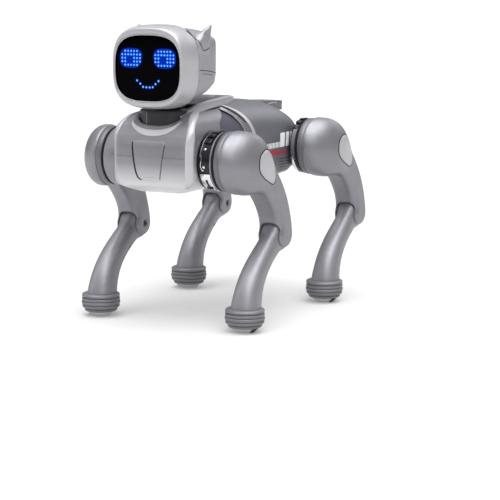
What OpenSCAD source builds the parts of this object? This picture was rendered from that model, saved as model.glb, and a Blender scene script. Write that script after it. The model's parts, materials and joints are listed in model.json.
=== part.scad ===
/* [Stance] */
// Height of the four hip axes above the floor
hip_z = 158; // [150:0.5:166]
// Front hip axis, measured from the middle of the length
front_hip_y = -100.3; // [-104:0.1:-98]
// Rear hip axis, measured from the middle of the length
rear_hip_y = 69.5; // [66:0.1:72]
// Knee pivot behind its hip axis
knee_back = 61; // [58:0.5:63]
// Knee pivot below its hip axis
knee_drop = 74; // [72:0.5:77]
// Foot centre in front of its knee pivot
foot_ahead = 62; // [58:0.5:66]

/* [Hip and leg] */
// Plane where each hip turns, from the centre plane
seam_x = 60.6; // [60.4:0.1:61]
// Middle plane of each leg
leg_x = 80; // [79.8:0.1:80.6]
// Largest radius of the hip pod
pod_r = 30.5; // [29:0.5:31]
// Thickness of the thigh from side to side
thigh_t = 27; // [26.6:0.1:28]
// Width of the thigh from front to back
thigh_w = 26; // [25:0.5:27]
// Thickness of each knee cheek
cheek_t = 3.2; // [3:0.1:3.4]
// Radius of the knee pin
pin_r = 2; // [1.6:0.1:2.5]
// Width of the shank where it enters the knee
shank_top_w = 25; // [24:0.5:26]
// Width of the shank above the foot
shank_foot_w = 32; // [30:0.5:33]
// Radius of the ribbed foot
foot_r = 18.7; // [18:0.1:19]

/* [Torso] */
// Half width of the barrel-shaped flanks
flank_a = 50; // [49:0.1:50]
// Half height of the barrel-shaped flanks
flank_b = 42; // [41:0.5:43]
// Half width of the chest
chest_a = 45; // [44:0.5:45.5]
// Wall of the moulded shells
wall = 2.4; // [2:0.1:2.6]

/* [Head] */
// Half width of the front head shell
head_a = 39.5; // [39:0.5:40]
// Half height of the front head shell
head_b = 39; // [38:0.5:39.5]
// Spacing of the face lights
led_pitch = 3.1; // [2.9:0.1:3.2]

/* [Hidden] */
$fn = 64;
slip = 0.05;
gap = 0.3;
knee_z = hip_z - knee_drop;
limb_x0 = leg_x - thigh_t / 2;
limb_x1 = leg_x + thigh_t / 2;
slot_x0 = limb_x0 + cheek_t;
slot_w = thigh_t - 2 * cheek_t;
shank_t = slot_w - 1;
drum_r = 27;
opening_r = 20;
servo_x0 = 22.4;
servo_x1 = 42.4;
shaft_r = 3;
torso_z = 167;
chest_seam_z = 163;
neck_y = -104;
neck_r = 22;
head_z = 246;
face_y = -141;
foot_top = 22.5;

shell_grey = [0.60, 0.60, 0.63];
light_grey = [0.80, 0.80, 0.82];
gunmetal = [0.42, 0.43, 0.46];
dark_grey = [0.30, 0.30, 0.33];
black = [0.05, 0.05, 0.06];
chrome = [0.85, 0.85, 0.88];
led_blue = [0.15, 0.45, 1.00];
board_green = [0.10, 0.35, 0.20];

// name, side (1 is the dog's left), hip position along the body, inner end of the hip drum
LEGS = [
    ["front_left", 1, front_hip_y, chest_a],
    ["front_right", -1, front_hip_y, chest_a],
    ["rear_left", 1, rear_hip_y, flank_a],
    ["rear_right", -1, rear_hip_y, flank_a]
];
LEG_PARTS = ["thigh_shell", "hip_cap", "knee_pin", "shank_shell", "knee_servo", "foot_boot", "sole_pad"];

// ---------- curves ----------

function mix(a, b, t) = a + (b - a) * t;
function quad_point(p, t) = mix(mix(p[0], p[1], t), mix(p[1], p[2], t), t);
function cubic_point(p, t) = mix(quad_point([p[0], p[1], p[2]], t), quad_point([p[1], p[2], p[3]], t), t);
function unit(v) = v / norm(v);
function normal_at(p, t) = let (d = unit(cubic_point(p, t + 0.01) - cubic_point(p, t - 0.01))) [-d[1], d[0]];
// one edge of a band that follows a cubic curve; side is 1 or -1
function band_edge(p, w0, w1, side, steps = 14) =
    [for (i = [0:steps]) let (t = i / steps) cubic_point(p, t) + normal_at(p, t) * side * mix(w0, w1, t) / 2];
function reversed(list) = [for (i = [len(list) - 1:-1:0]) list[i]];
function band(p, w0, w1) = concat(band_edge(p, w0, w1, 1), reversed(band_edge(p, w0, w1, -1)));
// the same band with a round start
function round_band(p, w0, w1) = let (n = normal_at(p, 0), back = [-n[1], n[0]]) concat(
    band(p, w0, w1),
    [for (turn = [15:15:165]) p[0] + w0 / 2 * (-cos(turn) * n + sin(turn) * back)]
);
function power(v, e) = sign(v) * pow(abs(v), e);
// rounded box outline; p is 2 for an ellipse and larger for squarer corners
function superellipse(a, b, p, steps = 48) =
    [for (i = [0:steps - 1]) let (t = 360 * i / steps) [a * power(cos(t), 2 / p), b * power(sin(t), 2 / p)]];

// ---------- placing ----------

// a leg's children are drawn on the dog's left with y and z measured from the hip axis
module at_hip(leg) {
    if (leg[1] > 0) translate([0, leg[2], hip_z]) children();
    else mirror([1, 0, 0]) translate([0, leg[2], hip_z]) children();
}
module both_sides() {
    children();
    mirror([1, 0, 0]) children();
}
// a profile drawn in y and z, extruded across the body from x0
module across(x0, length) {
    translate([x0, 0, 0]) rotate([90, 0, 90]) linear_extrude(length) children();
}
// a profile drawn in x and z, extruded towards the tail from y0
module along(y0, length) {
    translate([0, y0 + length, 0]) rotate([90, 0, 0]) linear_extrude(length) children();
}
// a cylinder lying across the body
module rod_x(x0, x1, r) {
    translate([x0, 0, 0]) rotate([0, 90, 0]) cylinder(h = x1 - x0, r = r);
}

// ---------- leg ----------

thigh_curve = [[12, -4], [40, -24], [knee_back, -46], [knee_back, -knee_drop]];
shank_curve = [[0, 1], [-24, -12], [-foot_ahead, -32], [-foot_ahead, -66]];
pod_mid_x = 75;
pod_x0 = seam_x + 0.8;
// radius of the pod at distance x from the centre plane
function pod_radius(x) = x < pod_mid_x
    ? mix(28.4, pod_r, sqrt(max(x - pod_x0, 0) / (pod_mid_x - pod_x0)))
    : pod_r * pow(1 - pow((x - pod_mid_x) / (limb_x1 - pod_mid_x), 3), 1 / 3);
pod_steps = 14;
pod_profile = concat(
    [[0, pod_x0]],
    [for (i = [0:pod_steps]) let (x = mix(pod_x0, limb_x1, i / pod_steps)) [max(pod_radius(x), 0), x]]
);

module knee_slot_outline() {
    arch_r = 17;
    translate([knee_back, -knee_drop]) {
        circle(r = arch_r);
        translate([-40, -40]) square([40, 53]);
        translate([-20, -40]) square([60, 40]);
    }
}
module thigh_outline() {
    translate([11, -4]) circle(r = 24);
    polygon(band(thigh_curve, 34, thigh_w));
    translate([knee_back, -knee_drop]) circle(r = thigh_w / 2);
}
// the hollow of the thigh, which opens into the ring-shaped hollow of the pod
module thigh_hollow_outline() {
    difference() {
        union() {
            translate([11, -4]) circle(r = 24 - wall);
            polygon(band(thigh_curve, 34 - 2 * wall, thigh_w - 2 * wall));
        }
        circle(r = 9);
        translate([knee_back, -knee_drop]) circle(r = 17 + wall);
        translate([knee_back - 40, -knee_drop - 40]) square([80, 53 + wall]);
    }
}
module thigh_shell() {
    color(shell_grey) difference() {
        union() {
            rotate([0, 90, 0]) rotate_extrude() polygon(pod_profile);
            across(limb_x0, thigh_t) thigh_outline();
        }
        rotate([0, 90, 0]) rotate_extrude() translate([9, pod_x0 - 1]) square([16, 14]);
        rod_x(pod_x0 - 1, 73, shaft_r + slip);
        across(limb_x0 + wall, thigh_t - 2 * wall) thigh_hollow_outline();
        across(slot_x0, slot_w) knee_slot_outline();
        translate([0, knee_back, -knee_drop]) rod_x(limb_x0 - 1, limb_x1 + 1, pin_r);
        across(limb_x1 - 0.8, 2) cap_outline();
    }
}
// a round head over the hip with a tail that runs down the thigh
module cap_outline() {
    centre = [13, 1];
    head_r = 12.5;
    polygon(concat(
        [for (turn = [20:20:220]) centre + head_r * [cos(turn), sin(turn)]],
        [[7, -10.5], [25, -25], [28, -23]]
    ));
}
module hip_cap() {
    color(light_grey) across(limb_x1 - 0.8, 1.8) cap_outline();
}
module knee_pin() {
    color(chrome) translate([0, knee_back, -knee_drop]) rod_x(limb_x0, limb_x1, pin_r);
}
module shank_outline(inset) {
    polygon(round_band(shank_curve, shank_top_w - 2 * inset, shank_foot_w - 2 * inset));
}
// the shank seen from the front: narrow in the fork, as wide as the foot at the bottom
module shank_front(inset) {
    half_top = shank_t / 2 - inset;
    half_foot = 16.4 - inset;
    foot_w = foot_top - knee_z;
    polygon([
        [leg_x - half_top, 20], [leg_x - half_top, -16], [leg_x - 14 + inset, -44], [leg_x - half_foot, foot_w],
        [leg_x + half_foot, foot_w], [leg_x + 14 - inset, -44], [leg_x + half_top, -16], [leg_x + half_top, 20]
    ]);
}
module shank_solid(inset) {
    intersection() {
        across(leg_x - 20, 40) shank_outline(inset);
        along(-90, 120) shank_front(inset);
    }
}
module at_knee() {
    translate([0, knee_back, -knee_drop]) children();
}
module shank_shell() {
    shell_wall = 2.2;
    color(shell_grey) at_knee() difference() {
        shank_solid(0);
        shank_solid(shell_wall);
        rod_x(leg_x - 20, leg_x + 20, pin_r + slip);
        translate([0, -24, -21]) rod_x(leg_x - 20, leg_x - 6, 1.2);
    }
}
module knee_servo() {
    case_r = 9;
    motor_r = 5.5;
    color(dark_grey) at_knee() difference() {
        union() {
            translate([0, -1.5, 0.5]) rod_x(leg_x - 7, leg_x + 7, case_r);
            translate([leg_x, -4, -3]) rotate([128, 0, 0]) cylinder(h = 25, r = motor_r);
        }
        rod_x(leg_x - 20, leg_x + 20, pin_r + gap);
    }
}
module at_foot() {
    translate([leg_x, knee_back - foot_ahead, -hip_z]) children();
}
ribs = 5;
rib_depth = 1.4;
rib_z0 = 5;
rib_h = (foot_top - rib_z0) / ribs;
module foot_boot() {
    tip_r = 9.5;
    rib_points = [for (i = [0:ribs - 1]) each [
        [foot_r - rib_depth, rib_z0 + i * rib_h],
        [foot_r, rib_z0 + (i + 0.3) * rib_h],
        [foot_r, rib_z0 + (i + 0.7) * rib_h]
    ]];
    color(dark_grey) at_foot() difference() {
        rotate_extrude() polygon(concat(
            [[0, 0.6], [tip_r - 1, 0.6], [tip_r, 1.4]],
            rib_points,
            [[foot_r - rib_depth, foot_top], [0, foot_top]]
        ));
        sole_solid();
        translate([-6, 0, 13]) rotate([0, -90, 0]) cylinder(h = 20, r = 1.5);
    }
}
module sole_solid() {
    translate([0, 1.5, 0]) cylinder(h = 3, r = 6.5);
}
module sole_pad() {
    color(black) at_foot() sole_solid();
}

// ---------- torso ----------

// the inner outline runs out past the open front end, so that the shell has no front wall
function body_front(inset) = inset > 0 ? -58 : -56;
// outline of the body seen from the side, from the shoulders to the tail
module body_side(inset) {
    polygon([
        [body_front(inset), 127 + inset], [46, 126 + inset], [64, 132 + inset], [80 - inset, 146],
        [86 - inset, 163], [84 - inset, 181], [72, 195 - inset], [48, 203 - inset],
        [20, 207.5 - inset], [body_front(inset), 209 - inset]
    ]);
}
module body_solid(inset) {
    intersection() {
        along(body_front(inset), 150) translate([0, torso_z]) polygon(superellipse(flank_a - inset, flank_b - inset, 2.6));
        across(-flank_a, 2 * flank_a) body_side(inset);
    }
}
module body_shell() {
    difference() {
        body_solid(0);
        body_solid(wall);
    }
}
spine_half = 20;
belly_half = 28;
rear_y = 72;
module flank(side) {
    x0 = side > 0 ? 0 : -60;
    color(gunmetal) difference() {
        intersection() {
            body_shell();
            translate([x0, -60, 110]) cube([60, rear_y + 60, 110]);
        }
        translate([-spine_half, -60, 185]) cube([2 * spine_half, 160, 40]);
        translate([-belly_half, -60, 110]) cube([2 * belly_half, 160, 24]);
        hip_openings(rear_hip_y);
        // the forward-facing scoops are open at the flank's front edge
        both_sides() translate([30, -57, 178]) cube([40, 6, 22]);
    }
}
// the round openings in the side walls that the hip drums are fitted through
module hip_openings(y) {
    both_sides() translate([0, y, hip_z]) rod_x(30, 60, opening_r);
}
module back_cover() {
    color(light_grey) difference() {
        intersection() {
            body_shell();
            translate([-spine_half + gap, -60, 190]) cube([2 * (spine_half - gap), rear_y + 60, 40]);
        }
        translate([0, -22, 195]) window_outline(30);
    }
}
module window_outline(h) {
    linear_extrude(h) polygon(superellipse(13, 26, 2.6));
}
module back_window() {
    color(black) intersection() {
        body_shell();
        translate([0, -22, 195]) window_outline(30);
    }
}
module tail_loop() {
    tail_w = 26;
    slot = 14;
    color(gunmetal) difference() {
        across(-tail_w / 2, tail_w) polygon([[66, 199.5], [72, 196.5], [84, 193], [106, 191], [106, 201], [72, 205], [66, 205]]);
        translate([-slot / 2, 88, 180]) cube([slot, 12, 40]);
        body_solid(0);
    }
}
module rear_cover() {
    color(gunmetal) difference() {
        intersection() {
            body_shell();
            translate([-60, rear_y + gap, 110]) cube([120, 60, 110]);
        }
        hip_openings(rear_hip_y);
    }
}
module belly_cover() {
    color(dark_grey) difference() {
        intersection() {
            body_shell();
            translate([-belly_half + gap, -60, 110]) cube([2 * (belly_half - gap), rear_y + 60, 24]);
        }
        translate([-5, switch_y - 7, 120]) cube([10, 14, 12]);
        translate([-5.3, port_y - 0.3, 120]) cube([10.6, 7.1, 20]);
        for (y = SCREW_Y) both_sides() translate([screw_x, y, 120]) cylinder(h = 20, r = 1.45);
    }
}
function chest_rear(inset) = inset > 0 ? -55 : -57;
// chest outline seen from the side
module chest_side(inset) {
    polygon([
        [chest_rear(inset), 126 + inset], [-122, 126 + inset], [-133 + inset, 132], [-139 + inset, 143], [-140.5 + inset, 156],
        [-139 + inset, 170], [-134 + inset, 182], [-126, 190 - inset], [-112, 196 - inset], [-94, 205 - inset],
        [-76, 209 - inset], [chest_rear(inset), 209 - inset]
    ]);
}
module chest_front(inset) {
    a = chest_a - inset;
    polygon([
        [-a, 148], [-a + 6, 135], [-a + 18, 126 + inset], [a - 18, 126 + inset], [a - 6, 135], [a, 148],
        [a, 186], [a - 6, 198], [a - 20, 208 - inset], [-a + 20, 208 - inset], [-a + 6, 198], [-a, 186]
    ]);
}
module chest_solid(inset) {
    intersection() {
        across(-60, 120) chest_side(inset);
        along(-150, 97) chest_front(inset);
    }
}
module neck_bore(r) {
    translate([0, neck_y, 150]) cylinder(h = 80, r = r);
}
module chest_shell() {
    difference() {
        chest_solid(0);
        chest_solid(wall);
        neck_bore(neck_r + 6);
        hip_openings(front_hip_y);
        trim_zone(gap);
    }
}
// the strip along each front corner of the chest that the bright trim fills
module trim_zone(extra) {
    both_sides() translate([chest_a - 7 - extra, -150, 110]) cube([20, 21 + extra, 90]);
}
module chest_upper_shell() {
    color(shell_grey) intersection() {
        chest_shell();
        translate([-60, -150, chest_seam_z]) cube([120, 100, 60]);
    }
}
module chest_lower_shell() {
    color(light_grey) intersection() {
        chest_shell();
        translate([-60, -150, 110]) cube([120, 100, chest_seam_z - gap - 110]);
    }
}
module chest_trims() {
    color(chrome) intersection() {
        difference() {
            chest_solid(0);
            chest_solid(wall);
        }
        trim_zone(0);
    }
}
module collar_trim() {
    color(chrome) difference() {
        intersection() {
            chest_solid(0);
            neck_bore(neck_r + 6 - gap);
        }
        chest_solid(wall);
        neck_bore(neck_r + slip + 0.2);
    }
}
module neck_cover() {
    color(black) difference() {
        translate([0, neck_y, 178]) cylinder(h = 28, r = neck_r);
        translate([0, neck_y, 177]) cylinder(h = 27, r = neck_r - wall);
        translate([0, neck_y, 200]) cylinder(h = 10, r = 5 + slip);
    }
}
module neck_servo() {
    color(dark_grey) translate([0, neck_y, 0]) {
        translate([-10, -14, 176]) cube([20, 28, 24]);
        translate([0, 0, 200]) cylinder(h = 18, r = shaft_r);
    }
}
module scoop_trims() {
    arc_r = 44;
    color(chrome) both_sides() difference() {
        intersection() {
            across(30, 21) difference() {
                translate([-80, 172]) circle(r = arc_r);
                translate([-80, 172]) circle(r = arc_r - 4);
            }
            translate([30, -56, 174]) cube([21, 40, 28]);
        }
        body_solid(-0.02);
        translate([30, -60, 100]) cube([flank_a - 35, 80, 100]);
    }
}
module hip_drums() {
    color(black) for (leg = LEGS) at_hip(leg) difference() {
        union() {
            rod_x(leg[3], seam_x - gap, drum_r);
            rod_x(servo_x1, leg[3] + 1, opening_r - gap);
        }
        rotate([0, 90, 0]) rotate_extrude() translate([7, servo_x1 - 1]) square([10, 15.5]);
        rod_x(servo_x1 - 1, seam_x + 1, shaft_r + gap);
        rotate([0, 90, 0]) rotate_extrude() translate([drum_r - 2, 56]) square([3, 1.5]);
        for (turn = [-60:20:60]) rotate([turn, 0, 0]) translate([52, -drum_r - 1, -1.2]) cube([3, 3, 2.4]);
    }
}
module hip_brackets() {
    bracket_r = drum_r + 1.6;
    bracket_gap = 0.1;
    color(chrome) for (leg = LEGS) at_hip(leg) difference() {
        rod_x(leg[3] + 1, 55, bracket_r);
        rod_x(leg[3], 56, drum_r + bracket_gap);
        translate([40, -40, -17]) cube([20, 80, 60]);
    }
}
module hip_servos() {
    case = [servo_x1 - servo_x0, 24, 27];
    color(dark_grey) for (leg = LEGS) at_hip(leg) {
        translate([servo_x0, -18, -9.5]) cube(case);
        rod_x(servo_x1 - 1, 72, shaft_r);
    }
}
module chassis_frame() {
    rail = [servo_x0 - 17, 178, 6];
    crossbar = [34, 3, 30];
    color(dark_grey) {
        translate([-20, -116, 139]) cube([40, 180, 3]);
        both_sides() translate([17, -114, 142]) cube(rail);
        for (y = [-114, -62, 20, 61]) translate([-crossbar[0] / 2, y, 142]) cube(crossbar);
    }
}
module battery_pack() {
    cell_r = 9.1;
    color(led_blue) both_sides() translate([9.3, -52, 157.6]) rotate([-90, 0, 0]) cylinder(h = 65, r = cell_r);
}
module main_board() {
    board = [32, 100, 1.6];
    color(board_green) translate([-16, -40, 172]) cube(board);
    color(black) for (y = [-30, -8, 16, 40]) translate([-7, y, 172 + board[2]]) cube([14, 12, 2.5]);
}
module speaker() {
    color(black) translate([0, 43, 143]) cylinder(h = 9, r = 14);
}
switch_y = 17;
module power_switch() {
    knob = [7, 5, 6];
    color(black) translate([0, switch_y - 4, 0]) {
        translate([-knob[0] / 2, -knob[1] / 2, 124.6]) cube(knob);
        translate([-6.5, -3.5, 130.4]) cube([13, 7, 2]);
    }
}
port_y = 52;
module charge_port() {
    color(chrome) translate([-5, port_y, 128.5]) difference() {
        cube([10, 6.5, 9]);
        translate([1, 1.2, -1]) cube([8, 4.1, 8]);
    }
}
SCREW_Y = [-48, 0, 60];
screw_x = 24.5;
module torso_screws() {
    color(chrome) for (y = SCREW_Y) both_sides() translate([screw_x, y, 129]) cylinder(h = 8, r = 1.4);
}

// ---------- head ----------

module face_plate_outline(a, b) {
    translate([0, head_z - 0.7]) polygon(superellipse(a, b, 3.4));
}
module head_front_shell() {
    color(light_grey) difference() {
        along(face_y - 2, 25) translate([0, head_z]) polygon(superellipse(head_a, head_b, 3));
        along(face_y - 3, 5.5) face_plate_outline(34.8, 30.8);
        along(face_y + 1, 24) translate([0, head_z]) polygon(superellipse(head_a - wall - 3, head_b - 7, 3));
    }
}
module face_screen() {
    color(black) along(face_y - 1.2, 2) face_plate_outline(34.6, 30.6);
}
EYE_ROWS = [[1, 2, 3, 4, 5], [0, 1, 2, 3, 4, 5, 6], [0, 1, 4, 5, 6], [0, 1, 4, 5, 6], [1, 2, 3, 4, 5]];
SMILE = [[-3.6, 1.9], [-2.55, 1], [-1.6, 0.1], [-0.5, 0], [0.6, 0], [1.65, 0.1], [2.6, 1], [3.6, 1.9]];
module face_leds() {
    led_r = 0.9;
    eye_x = 17.4;
    color(led_blue) {
        for (side = [-1, 1]) for (row = [0:4]) for (column = EYE_ROWS[row])
            translate([side * eye_x + (column - 3) * led_pitch, face_y + 0.9, 254.5 + (2 - row) * led_pitch])
                rotate([-90, 0, 0]) cylinder(h = 0.5, r = led_r, $fn = 16);
        for (dot = SMILE) translate([dot[0] * led_pitch, face_y + 0.9, 227.8 + dot[1] * led_pitch])
            rotate([-90, 0, 0]) cylinder(h = 0.5, r = led_r, $fn = 16);
    }
}
module head_board() {
    color(board_green) along(face_y + 1.5, 1.6) face_plate_outline(32, 28);
}
module head_rear_side(inset) {
    polygon([
        [-117.9 + inset, 216 + inset], [-104, 217 + inset], [-84, 229 + inset], [-76 + inset, 240], [-73 + inset, 256],
        [-75 + inset, 268 - inset], [-96, 280 - inset], [-117.9 + inset, 283 - inset]
    ]);
}
module head_rear_solid(inset) {
    intersection() {
        across(-50, 100) head_rear_side(inset);
        along(-118, 60) translate([0, head_z + 1]) polygon(superellipse(38 - inset, 37 - inset, 3.2));
    }
}
module head_rear_shell() {
    color(light_grey) difference() {
        head_rear_solid(0);
        head_rear_solid(wall);
        translate([0, neck_y, 200]) cylinder(h = 30, r = 12.3);
    }
}
module ear(side) {
    color(light_grey) difference() {
        if (side > 0) ear_fin();
        else mirror([1, 0, 0]) ear_fin();
        head_rear_solid(0);
    }
}
module ear_fin() {
    across(35, 5.5) polygon([[-117, 266], [-112, 274], [-95, 285.5], [-96, 274], [-99, 266]]);
}
module head_pivot() {
    color(dark_grey) translate([0, neck_y, 206.5]) difference() {
        union() {
            cylinder(h = 20, r = 12);
            translate([-15, -11, 14]) cube([30, 11, 3]);
        }
        translate([0, 0, -1]) cylinder(h = 14, r = shaft_r + slip);
    }
}

// ---------- every node ----------

chassis_frame();
chest_upper_shell();
chest_lower_shell();
chest_trims();
collar_trim();
neck_cover();
neck_servo();
flank(1);  // left_flank
flank(-1);  // right_flank
scoop_trims();
back_cover();
back_window();
tail_loop();
rear_cover();
belly_cover();
hip_drums();
hip_brackets();
hip_servos();
battery_pack();
main_board();
speaker();
power_switch();
charge_port();
torso_screws();
head_front_shell();
head_rear_shell();
face_screen();
face_leds();
ear(1);  // left_ear
ear(-1);  // right_ear
head_board();
head_pivot();
for (leg = LEGS) {
    at_hip(leg) thigh_shell();
    at_hip(leg) hip_cap();
    at_hip(leg) knee_pin();
    at_hip(leg) shank_shell();
    at_hip(leg) knee_servo();
    at_hip(leg) foot_boot();
    at_hip(leg) sole_pad();
}
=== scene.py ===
"""The looks of a quadruped robot dog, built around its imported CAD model.

Shapes are worked out in millimetres, in the frame's own axes: +Z up, -Y to the front, +X to the dog's left.
"""

import json
import math

import bmesh
import bpy
import numpy as np
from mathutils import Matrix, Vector


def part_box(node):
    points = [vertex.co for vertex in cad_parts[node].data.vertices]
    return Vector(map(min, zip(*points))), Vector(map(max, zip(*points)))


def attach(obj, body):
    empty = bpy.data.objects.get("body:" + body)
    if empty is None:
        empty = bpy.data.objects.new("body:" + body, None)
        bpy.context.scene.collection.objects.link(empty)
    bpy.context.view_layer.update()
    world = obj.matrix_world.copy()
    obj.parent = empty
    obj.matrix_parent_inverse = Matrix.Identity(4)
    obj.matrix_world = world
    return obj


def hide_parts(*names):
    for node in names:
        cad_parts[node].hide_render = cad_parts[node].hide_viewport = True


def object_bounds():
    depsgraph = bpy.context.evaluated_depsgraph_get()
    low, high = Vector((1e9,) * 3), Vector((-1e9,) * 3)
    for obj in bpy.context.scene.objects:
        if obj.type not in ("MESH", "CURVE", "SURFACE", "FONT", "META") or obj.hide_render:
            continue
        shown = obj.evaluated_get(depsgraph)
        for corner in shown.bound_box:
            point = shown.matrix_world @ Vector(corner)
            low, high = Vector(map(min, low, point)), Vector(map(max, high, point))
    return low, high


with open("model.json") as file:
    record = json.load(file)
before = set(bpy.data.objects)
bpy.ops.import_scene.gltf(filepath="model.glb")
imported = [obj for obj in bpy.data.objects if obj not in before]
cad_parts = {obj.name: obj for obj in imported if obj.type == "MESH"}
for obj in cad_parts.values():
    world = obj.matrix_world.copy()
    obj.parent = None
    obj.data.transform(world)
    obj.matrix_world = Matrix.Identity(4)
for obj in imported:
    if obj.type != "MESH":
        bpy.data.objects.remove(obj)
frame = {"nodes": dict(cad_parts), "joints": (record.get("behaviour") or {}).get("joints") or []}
cad_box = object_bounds()
scene = bpy.context.scene

# ---------- camera ----------

AZIMUTH = math.radians(29.15)
ELEVATION = math.radians(6.65)
DISTANCE = 1.68
LENS_PER_DISTANCE = 72.0
PICTURE_SHIFT = (0.05, -0.16)
AIM_OFFSET = (0.0005, 0.003, -0.0061)


def add_camera():
    lens = bpy.data.cameras.new("camera")
    lens.sensor_width = 36
    lens.lens = LENS_PER_DISTANCE * DISTANCE
    lens.shift_x, lens.shift_y = PICTURE_SHIFT
    lens.clip_end = 50
    camera = bpy.data.objects.new("camera", lens)
    scene.collection.objects.link(camera)
    away = Vector((
        math.sin(AZIMUTH) * math.cos(ELEVATION),
        -math.cos(AZIMUTH) * math.cos(ELEVATION),
        math.sin(ELEVATION),
    ))
    low, high = cad_box
    middle = Vector(((low[0] + high[0]) / 2, (low[1] + high[1]) / 2, (low[2] + high[2]) / 2))
    camera.location = middle + Vector(AIM_OFFSET) + DISTANCE * away
    camera.rotation_euler = away.to_track_quat("Z", "Y").to_euler()
    scene.camera = camera


add_camera()

# ---------- sizes from the frame, in millimetres ----------

MM = 0.001


def box(node):
    low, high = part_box(node)
    return np.array(low) / MM, np.array(high) / MM


def middle_of(node):
    low, high = box(node)
    return (low + high) / 2


HINGES = [joint for joint in frame["joints"] if joint["type"] == "hinge"]
JOINT_AT = {joint["name"]: np.array(joint["pos_m"]) / MM for joint in HINGES}
LEGS = ("front_left", "front_right", "rear_left", "rear_right")
HIP = JOINT_AT["front_left_hip"]
KNEE = JOINT_AT["front_left_knee"]
NECK = JOINT_AT["head_turn"]
SEAM_X = HIP[0]
LEG_X = KNEE[0]
FOOT = middle_of("front_left_foot_boot")
FOOT_TOP = box("front_left_foot_boot")[1][2]
FOOT_R = box("front_left_foot_boot")[1][0] - FOOT[0]
LIMB_T = 27.0  # how thick a thigh is, across the dog
SIDE = {leg: 1 if "left" in leg else -1 for leg in LEGS}
BACK = {leg: JOINT_AT[leg + "_hip"][1] - HIP[1] for leg in LEGS}

# ---------- fields: distance in millimetres from a surface, below zero inside ----------


def ease(t):
    """Rises smoothly from 0 to 1."""
    t = np.clip(t, 0, 1)
    return t * t * (3 - 2 * t)


def join(a, b, soft):
    """Both shapes, with a fillet of about soft."""
    h = np.clip(0.5 + 0.5 * (b - a) / soft, 0, 1)
    return b + (a - b) * h - soft * h * (1 - h)


def common(a, b, soft):
    """What both shapes hold, with its edge rounded by about soft."""
    return -join(-a, -b, soft)


def through(*knots):
    """A smooth curve through (place, value) knots, level beyond its ends."""
    place, value = np.array(knots, float).T
    slope = np.gradient(value, place)

    def curve(t):
        t = np.clip(t, place[0], place[-1])
        i = np.clip(np.searchsorted(place, t) - 1, 0, len(place) - 2)
        span = place[i + 1] - place[i]
        s = (t - place[i]) / span
        rise = s * s * (3 - 2 * s)
        bend = (s**3 - 2 * s**2 + s) * slope[i] + (s**3 - s**2) * slope[i + 1]
        return value[i] + (value[i + 1] - value[i]) * rise + bend * span

    return curve


def bezier(points, t):
    a, b, c, d = np.array(points, float)
    t = np.asarray(t, float)[:, None]
    return (1 - t) ** 3 * a + 3 * (1 - t) ** 2 * t * b + 3 * (1 - t) * t**2 * c + t**3 * d


def along_curve(flat, points, steps=40):
    """How far points of a plane are from a cubic curve, and how far along it, from 0 to 1."""
    knots = bezier(points, np.linspace(0, 1, steps + 1))
    nearest = np.full(len(flat), np.inf)
    place = np.zeros(len(flat))
    for i in range(steps):
        step = knots[i + 1] - knots[i]
        t = np.clip((flat - knots[i]) @ step / (step @ step), 0, 1)
        far = np.hypot(*(flat - knots[i] - t[:, None] * step).T)
        nearer = far < nearest
        nearest[nearer] = far[nearer]
        place[nearer] = (i + t[nearer]) / steps
    return nearest, place


def polygon_field(u, v, corners):
    """Exact signed distance from a polygon, for points u, v of its plane."""
    corners = np.array(corners, float)
    nearest = np.full(len(u), np.inf)
    inside = np.zeros(len(u), bool)
    for (au, av), (bu, bv) in zip(corners, np.roll(corners, -1, 0)):
        du, dv = bu - au, bv - av
        t = np.clip(((u - au) * du + (v - av) * dv) / (du * du + dv * dv), 0, 1)
        nearest = np.minimum(nearest, (u - au - t * du) ** 2 + (v - av - t * dv) ** 2)
        if av != bv:
            inside ^= ((av > v) != (bv > v)) & (u < (v - av) * du / dv + au)
    return np.where(inside, -1, 1) * np.sqrt(nearest)


def rounded_pair(a, b, radius):
    """What two fields hold together, with a true radius where they meet."""
    a = a + radius
    b = b + radius
    return np.hypot(np.maximum(a, 0), np.maximum(b, 0)) + np.minimum(np.maximum(a, b), 0) - radius


def squircle(u, v, a, b, power):
    """A rounded box outline: an ellipse at power 2, squarer above it."""
    ratio = (np.abs(u / a) ** power + np.abs(v / b) ** power) ** (1 / power)
    return (ratio - 1) * np.minimum(a, b)


# ---------- meshes: a shape is (corners in millimetres, faces) ----------


def others(axis):
    return [k for k in range(3) if k != axis]


def unit(rows):
    return rows / np.linalg.norm(rows, axis=1, keepdims=True)


def shares(rows):
    """Even steps from 0 to 1, one for each row."""
    return np.linspace(0, 1, len(rows))


def slope_of(field, spots, reach=0.04):
    slope = np.empty_like(spots)
    for axis in range(3):
        step = np.zeros(3)
        step[axis] = reach
        slope[:, axis] = (field(spots + step) - field(spots - step)) / (2 * reach)
    return slope


def settle(field, spots, level=0.0, rounds=4, limit=1.5):
    """Moves spots onto the field's surface, or to a level above it."""
    spots = np.array(spots, float)
    for _ in range(rounds):
        slope = slope_of(field, spots)
        move = ((field(spots) - level) / np.maximum((slope**2).sum(1), 1e-6))[:, None] * slope
        length = np.linalg.norm(move, axis=1, keepdims=True)
        spots -= move * np.minimum(1, limit / np.maximum(length, 1e-9))
    return spots


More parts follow.
